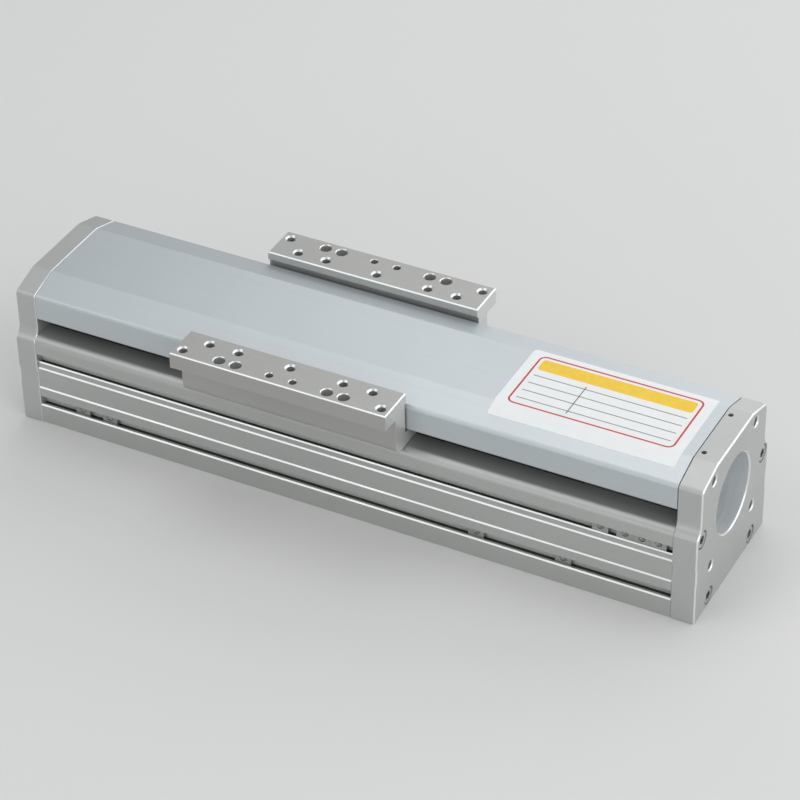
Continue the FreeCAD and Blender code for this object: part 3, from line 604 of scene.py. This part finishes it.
def dress_slot_nuts(node):
    """Slot nuts, with the mouth of each thread chamfered. Returns those mouths."""
    bm = node_copy(node)
    mouths = [side_middle(box, -AXIS_Y) for box in solid_boxes(node)]
    chamfer_mouths(bm, AXIS_Y, mouths, NUT_THREAD_RADIUS, NUT_THREAD_CHAMFER)
    soften(bm, NUT_EDGE)
    stand_for(node, bm, [zinc_steel])
    return mouths


dress_saddle("saddle")
dress_end_plate("motor_end_plate", PLATE_MOUTHS, ["motor_bore"])
dress_end_plate("idle_end_plate", {}, [])
dress_base("base_extrusion")
dress("top_cover", cover_aluminium, COVER_EDGE)
dress("slider_plate", plate_aluminium, GROUND_EDGE)
dress("ball_nut", bearing_steel, GROUND_EDGE)
dress("bearing_outer_rings", bearing_steel, GROUND_EDGE)
dress("bearing_inner_rings", bearing_steel, GROUND_EDGE)
dress("bearing_retainer", oxide_steel, TURNED_EDGE)
dress("bearing_lock_nut", oxide_steel, TURNED_EDGE)
dress("guide_rail_near", bearing_steel, GROUND_EDGE)
dress("guide_rail_far", bearing_steel, GROUND_EDGE)
dress("cover_keys", zinc_steel, GROUND_EDGE)
dress("end_bumpers", bumper_rubber, RUBBER_EDGE)
for number in range(1, GUIDE_BLOCKS + 1):
    dress(f"guide_block_{number}", bearing_steel, GROUND_EDGE)
    dress(f"block_end_caps_{number}", cap_plastic, MOULDED_EDGE)
nut_mouths = dress_slot_nuts("upper_slot_nuts") + dress_slot_nuts("lower_slot_nuts")


# Screws with hexagon sockets

SCREW_STEPS = 48
HEX_SIDES = 6
SOCKET_RIM = 0.1
SOCKET_TIP = 1 / 3


def socket_screw(bm, profile, key_size, key_depth):
    """A turned screw, its top at height 0, with a hexagon socket sunk into it."""
    lathe(bm, [*profile, (profile[-1][0] - SOCKET_RIM, 0)], SCREW_STEPS)
    outer_rim = set(open_rims(bm))
    key_radius = key_size / math.sqrt(3)
    corners = bmesh.ops.create_circle(
        bm, cap_ends=True, segments=HEX_SIDES, radius=key_radius * MM,
        matrix=Matrix.Translation((0, 0, -key_depth * MM)),
    )["verts"]
    tip = bmesh.ops.poke(bm, faces=corners[0].link_faces[:])["verts"]
    bmesh.ops.translate(bm, verts=tip, vec=(0, 0, -key_radius * SOCKET_TIP * MM))
    floor_edges = [edge for edge in open_rims(bm) if edge not in outer_rim]
    walls = bmesh.ops.extrude_edge_only(bm, edges=floor_edges)["geom"]
    bmesh.ops.translate(bm, verts=only_verts(walls), vec=(0, 0, key_depth * MM))
    top_edges = [edge for edge in open_rims(bm) if edge not in outer_rim]
    bmesh.ops.subdivide_edges(bm, edges=top_edges, cuts=SCREW_STEPS // HEX_SIDES - 1)
    bmesh.ops.bridge_loops(bm, edges=open_rims(bm))
    bmesh.ops.recalc_face_normals(bm, faces=bm.faces)
    mark_creases(bm)


def make_cap_screws(node, direction):
    """Socket head cap screws in place of a plate's plain ones."""
    boxes = solid_boxes(node)
    low, high = boxes[0]
    length = (high.x - low.x) / MM
    head_radius = (high.y - low.y) / 2 / MM
    thread_radius = 2.5
    head_height = 5.0
    key_size = 4.0
    key_depth = 2.6
    edge = 0.5
    profile = [
        (0, -length),
        (thread_radius - edge, -length),
        (thread_radius, edge - length),
        (thread_radius, -head_height),
        (head_radius - edge / 2, -head_height),
        (head_radius, edge / 2 - head_height),
        (head_radius, -edge),
        (head_radius - edge, 0),
    ]
    bm = bmesh.new()
    socket_screw(bm, profile, key_size, key_depth)
    repeat(bm, [side_middle(box, direction) for box in boxes], direction)
    stand_for(node, bm, [stainless_steel])


def make_set_screws(node):
    """Set screws that lock the cover keys."""
    boxes = solid_boxes(node)
    low, high = boxes[0]
    length = (high.z - low.z) / MM
    radius = (high.x - low.x) / 2 / MM
    key_size = 1.3
    key_depth = 1.2
    edge = 0.2
    profile = [
        (0, -length),
        (radius - edge, -length),
        (radius, edge - length),
        (radius, -edge),
        (radius - edge, 0),
    ]
    bm = bmesh.new()
    socket_screw(bm, profile, key_size, key_depth)
    repeat(bm, [side_middle(box, AXIS_Z) for box in boxes], AXIS_Z)
    stand_for(node, bm, [oxide_steel])


make_cap_screws("motor_plate_screws", AXIS_X)
make_cap_screws("idle_plate_screws", -AXIS_X)
make_set_screws("cover_set_screws")


# Threads in the tapped holes: the crest and root places are shares of the pitch

THREAD_STEPS = 24
COARSE_PITCH = 0.8
FINE_PITCH = 0.5
RIDGE_HEIGHT = 0.38
RIDGE_SUNK = 0.03
CREST_START = 0.42
CREST_END = 0.54
ROOT_END = 0.96
LEAD_IN_TOP = 0.3
LEAD_IN_WIDTH = 0.5
LEAD_IN_LAND = 0.2


def make_threads(name, node, mouths, direction, hole_radius, pitch, start, turns, material):
    """Thread ridges that stand in from the walls of a node's tapped holes."""
    bm = bmesh.new()
    crest = hole_radius - RIDGE_HEIGHT * pitch
    root = hole_radius + RIDGE_SUNK
    ridge = [
        (root, -start),
        (crest, -start - CREST_START * pitch),
        (crest, -start - CREST_END * pitch),
        (root, -start - ROOT_END * pitch),
    ]
    helix(bm, ridge, pitch, turns, THREAD_STEPS, closed=True)
    bmesh.ops.holes_fill(bm, edges=open_rims(bm), sides=len(ridge))
    bmesh.ops.recalc_face_normals(bm, faces=bm.faces)
    mark_creases(bm)
    repeat(bm, mouths, direction)
    finish_piece(name, bm, [material], body_of[node])


def make_lead_ins(name, node, mouths, hole_radius):
    """Countersinks with a painted highlight that lead from the mouths of tapped holes down to their thread
    crests.
    """
    bm = bmesh.new()
    outer = hole_radius + RIDGE_SUNK
    inner = hole_radius - LEAD_IN_WIDTH
    bottom = -LEAD_IN_TOP - LEAD_IN_WIDTH - LEAD_IN_LAND
    lathe(bm, [
        (outer, RIDGE_SUNK - LEAD_IN_TOP),
        (inner, -LEAD_IN_TOP - LEAD_IN_WIDTH),
        (inner, bottom),
        (outer, bottom),
    ], SCREW_STEPS, closed=True)
    mark_creases(bm)
    repeat(bm, mouths, AXIS_Z)
    finish_piece(name, bm, [edge_painted_highlight], body_of[node])


bolt_radius = mounts["motor_bolts"]["dims"]["hole_r_mm"]
bolt_mouths = pattern_places(mounts["motor_bolts"])
wing_mouths = [place for name in WING_THREADS for place in pattern_places(mounts[name])]
make_lead_ins("wing_thread_lead_ins", "saddle", wing_mouths, bolt_radius)
# The thread ridges in the saddle and the motor plate carry painted shade.
make_threads("wing_threads", "saddle", wing_mouths, AXIS_Z, bolt_radius, COARSE_PITCH,
             start=1.6, turns=7, material=tapped_painted_shade_aluminium)
make_threads("motor_bolt_threads", "motor_end_plate", bolt_mouths, AXIS_X, bolt_radius, COARSE_PITCH,
             start=1.0, turns=11, material=tapped_painted_shade_aluminium)
make_threads("slot_nut_threads", "upper_slot_nuts", nut_mouths, -AXIS_Y, NUT_THREAD_RADIUS, FINE_PITCH,
             start=NUT_THREAD_CHAMFER, turns=4, material=zinc_steel)


# Ball screw with its rolled groove

SCREW_LEAD = 10.0
GROOVE_HALF = 1.9
GROOVE_DEPTH = 1.0
GROOVE_STEPS = 8
SPARE_TURNS = 2
FIXED_JOURNAL = 6.0
END_JOURNAL = 5.0
JOURNAL_EDGE = 0.5


def groove_line(radius):
    """One lead of the screw's surface, with the round-bottomed groove in its middle."""
    groove = []
    for step in range(GROOVE_STEPS + 1):
        across = 1 - 2 * step / GROOVE_STEPS
        depth = GROOVE_DEPTH * math.sqrt(1 - across * across)
        groove.append((radius - depth, GROOVE_HALF * across - SCREW_LEAD / 2))
    return [(radius, 0), *groove, (radius, -SCREW_LEAD)]


def add_journals(bm, screw_start, thread_start, thread_end, nut_end, screw_end):
    """Adds the plain journals that carry the screw at both ends."""
    journals = bmesh.new()
    lathe(journals, [
        (0, thread_end),
        (FIXED_JOURNAL, thread_end),
        (FIXED_JOURNAL, nut_end),
        (END_JOURNAL, nut_end),
        (END_JOURNAL, screw_end - JOURNAL_EDGE),
        (END_JOURNAL - JOURNAL_EDGE, screw_end),
        (0, screw_end),
    ], SCREW_STEPS)
    lathe(journals, [
        (0, screw_start),
        (END_JOURNAL - JOURNAL_EDGE, screw_start),
        (END_JOURNAL, screw_start + JOURNAL_EDGE),
        (END_JOURNAL, thread_start),
        (0, thread_start),
    ], SCREW_STEPS)
    mesh = bpy.data.meshes.new("journals")
    journals.to_mesh(mesh)
    journals.free()
    bm.from_mesh(mesh)
    bpy.data.meshes.remove(mesh)


def make_ball_screw(node):
    """The screw, with its groove wound along it between the journals."""
    low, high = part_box(node)
    axis_height = (low.z + high.z) / 2
    radius = (high.z - low.z) / 2 / MM
    support_ring, fixed_ring = solid_boxes("bearing_inner_rings")
    thread_start = support_ring[1].x / MM
    thread_end = fixed_ring[0].x / MM
    nut_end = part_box("bearing_lock_nut")[1].x / MM
    bm = bmesh.new()
    turns = round((thread_end - thread_start) / SCREW_LEAD) + SPARE_TURNS
    helix(bm, groove_line(radius), SCREW_LEAD, turns, SCREW_STEPS, closed=False)
    bmesh.ops.recalc_face_normals(bm, faces=bm.faces)
    bmesh.ops.translate(bm, verts=bm.verts, vec=(0, 0, (thread_end + SCREW_LEAD) * MM))
    for height, side in ((thread_end, 1), (thread_start, -1)):
        bmesh.ops.bisect_plane(bm, geom=everything(bm), plane_co=(0, 0, height * MM), plane_no=(0, 0, side),
                               clear_outer=True)
    bmesh.ops.holes_fill(bm, edges=open_rims(bm), sides=0)
    add_journals(bm, low.x / MM, thread_start, thread_end, nut_end, high.x / MM)
    mark_creases(bm)
    repeat(bm, [Vector((0, 0, axis_height))], AXIS_X)
    stand_for(node, bm, [rolled_steel])


make_ball_screw("ball_screw")


# Blank service label on the cover, bent over the crown: outlines are start, end, near and far

LABEL_OUTLINE = (68.2, 158.6, -28.0, 23.5)
LABEL_CORNER = 1.5
LABEL_THICKNESS = 0.12
FRAME_OUTLINE = (73.0, 153.8, -19.0, 19.0)
FRAME_CORNER = 3.5
FRAME_LINE = 0.9
HEADER_OUTLINE = (75.5, 151.3, 8.5, 16.5)
COLUMN_OUTLINE = (101.0, 101.5, -16.0, 6.0)
RULE_SPAN = (76.0, 150.8)
RULE_WIDTH = 0.5
RULE_PLACES = (4.0, -2.0, -8.0, -14.0)
INK_CORNER = 0.2
INK_THICKNESS = 0.03
CORNER_STEPS = 6
CROWN_HALF = 20.1
CROWN_SLOPE = 0.298
UNIT_HALF = 0.5


def lay_sheet(name, outline, corner, base, thickness, material, line=None):
    """A thin sheet or a frame of one line, laid on the cover's crown and bent down its slopes."""
    start, end, near, far = outline
    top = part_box("top_cover")[1].z
    bm = bmesh.new()
    bmesh.ops.create_grid(bm, x_segments=1, y_segments=1, size=UNIT_HALF)
    bmesh.ops.scale(bm, vec=((end - start) * MM, (far - near) * MM, 1), verts=bm.verts)
    bmesh.ops.translate(bm, vec=((start + end) / 2 * MM, (near + far) / 2 * MM, top), verts=bm.verts)
    bmesh.ops.bevel(bm, geom=bm.verts[:], offset=corner * MM, segments=CORNER_STEPS, profile=0.5,
                    affect="VERTICES", material=-1)
    if line:
        middle = bm.faces[:]
        bmesh.ops.inset_region(bm, faces=middle, thickness=line * MM, use_even_offset=True, use_boundary=True)
        bmesh.ops.delete(bm, geom=middle, context="FACES")
    for side in (-1, 1):
        bmesh.ops.bisect_plane(bm, geom=everything(bm), plane_co=(0, side * CROWN_HALF * MM, 0),
                               plane_no=AXIS_Y)
    for vert in bm.verts:
        vert.co.z += base * MM - CROWN_SLOPE * max(0, abs(vert.co.y) - CROWN_HALF * MM)
    raised = bmesh.ops.extrude_face_region(bm, geom=bm.faces[:])["geom"]
    bmesh.ops.translate(bm, verts=only_verts(raised), vec=(0, 0, thickness * MM))
    bmesh.ops.recalc_face_normals(bm, faces=bm.faces)
    mark_creases(bm)
    finish_piece(name, bm, [material], body_of["top_cover"])


lay_sheet("label_sheet", LABEL_OUTLINE, LABEL_CORNER, 0.0, LABEL_THICKNESS, label_vinyl)
lay_sheet("label_frame", FRAME_OUTLINE, FRAME_CORNER, LABEL_THICKNESS, INK_THICKNESS, red_ink, FRAME_LINE)
lay_sheet("label_header", HEADER_OUTLINE, LABEL_CORNER, LABEL_THICKNESS, INK_THICKNESS, yellow_ink)
lay_sheet("label_column", COLUMN_OUTLINE, INK_CORNER, LABEL_THICKNESS, INK_THICKNESS, grey_ink)
for number, place in enumerate(RULE_PLACES, start=1):
    rule = (*RULE_SPAN, place - RULE_WIDTH / 2, place + RULE_WIDTH / 2)
    lay_sheet(f"label_rule_{number}", rule, INK_CORNER, LABEL_THICKNESS, INK_THICKNESS, grey_ink)


# Camera, from the photo's viewing angle

CAMERA_AZIMUTH = math.radians(28.433)
CAMERA_ELEVATION = math.radians(36.649)
CAMERA_ROLL = math.radians(-1.505)
CAMERA_TARGET = Vector((8.406, 2.217, 41.374)) * MM
CAMERA_DISTANCE = 1435.79 * MM
CAMERA_LENS = 139.34


def add_camera():
    """A camera that looks down at the near side and the motor end."""
    back = Vector((
        math.sin(CAMERA_AZIMUTH) * math.cos(CAMERA_ELEVATION),
        -math.cos(CAMERA_AZIMUTH) * math.cos(CAMERA_ELEVATION),
        math.sin(CAMERA_ELEVATION),
    ))
    right = Vector((math.cos(CAMERA_AZIMUTH), math.sin(CAMERA_AZIMUTH), 0))
    stand = Matrix((right, back.cross(right), back)).transposed().to_4x4()
    data = bpy.data.cameras.new("camera")
    data.lens = CAMERA_LENS
    camera = bpy.data.objects.new("camera", data)
    camera.matrix_world = (
        Matrix.Translation(CAMERA_TARGET + back * CAMERA_DISTANCE)
        @ stand
        @ Matrix.Rotation(CAMERA_ROLL, 4, "Z")
    )
    bpy.context.scene.collection.objects.link(camera)
    bpy.context.scene.camera = camera


# Studio: pale floor, soft lamps and an even sky, in metres

FLOOR_COLOUR = "DADAD8"
FLOOR_ROUGHNESS = 0.9
FLOOR_REACH = 6.0
SKY_COLOUR = "D8DCE0"
SKY_STRENGTH = 0.45


def add_floor():
    """A wide matt floor under the base."""
    material, _, shader, _ = new_material("pale_floor", metallic=0.0)
    shader.inputs["Base Color"].default_value = hex_colour(FLOOR_COLOUR)
    shader.inputs["Roughness"].default_value = FLOOR_ROUGHNESS
    bm = bmesh.new()
    bmesh.ops.create_grid(bm, x_segments=1, y_segments=1, size=FLOOR_REACH)
    mesh = bpy.data.meshes.new("floor")
    bm.to_mesh(mesh)
    bm.free()
    mesh.materials.append(material)
    floor = bpy.data.objects.new("floor", mesh)
    floor.location.z = cad_box[0][2]
    bpy.context.scene.collection.objects.link(floor)


def add_lamp(name, place, size, brightness):
    """A softbox that faces the object, as bright as given when seen head on."""
    data = bpy.data.lights.new(name, "AREA")
    data.shape = "RECTANGLE"
    data.size = size[0]
    data.size_y = size[1]
    data.energy = brightness * math.pi * size[0] * size[1]
    lamp = bpy.data.objects.new(name, data)
    lamp.location = place
    lamp.rotation_euler = Vector(place).to_track_quat("Z", "Y").to_euler()
    bpy.context.scene.collection.objects.link(lamp)


def add_sky():
    """An even sky that fills the shadows."""
    world = bpy.data.worlds.new("studio_sky")
    world.use_nodes = True
    background = world.node_tree.nodes["Background"]
    background.inputs["Color"].default_value = hex_colour(SKY_COLOUR)
    background.inputs["Strength"].default_value = SKY_STRENGTH
    bpy.context.scene.world = world


add_camera()
add_floor()
add_sky()
add_lamp("back_softbox", (-0.19, 1.35, 1.15), (1.45, 1.0), 1.05)
add_lamp("overhead_softbox", (-0.30, 0.45, 1.85), (1.2, 1.0), 1.65)
add_lamp("key_softbox", (-0.71, -0.85, 1.48), (1.2, 1.5), 1.10)
add_lamp("front_softbox", (0.10, -1.60, 0.45), (2.2, 0.7), 1.10)
add_lamp("low_back_softbox", (0.10, 1.95, 0.32), (1.8, 0.6), 1.30)
add_lamp("far_right_softbox", (1.15, 1.30, 0.72), (1.0, 0.8), 1.70)
add_lamp("right_softbox", (1.75, -0.30, 1.05), (2.8, 1.9), 1.40)
bpy.context.scene.view_settings.view_transform = "Standard"
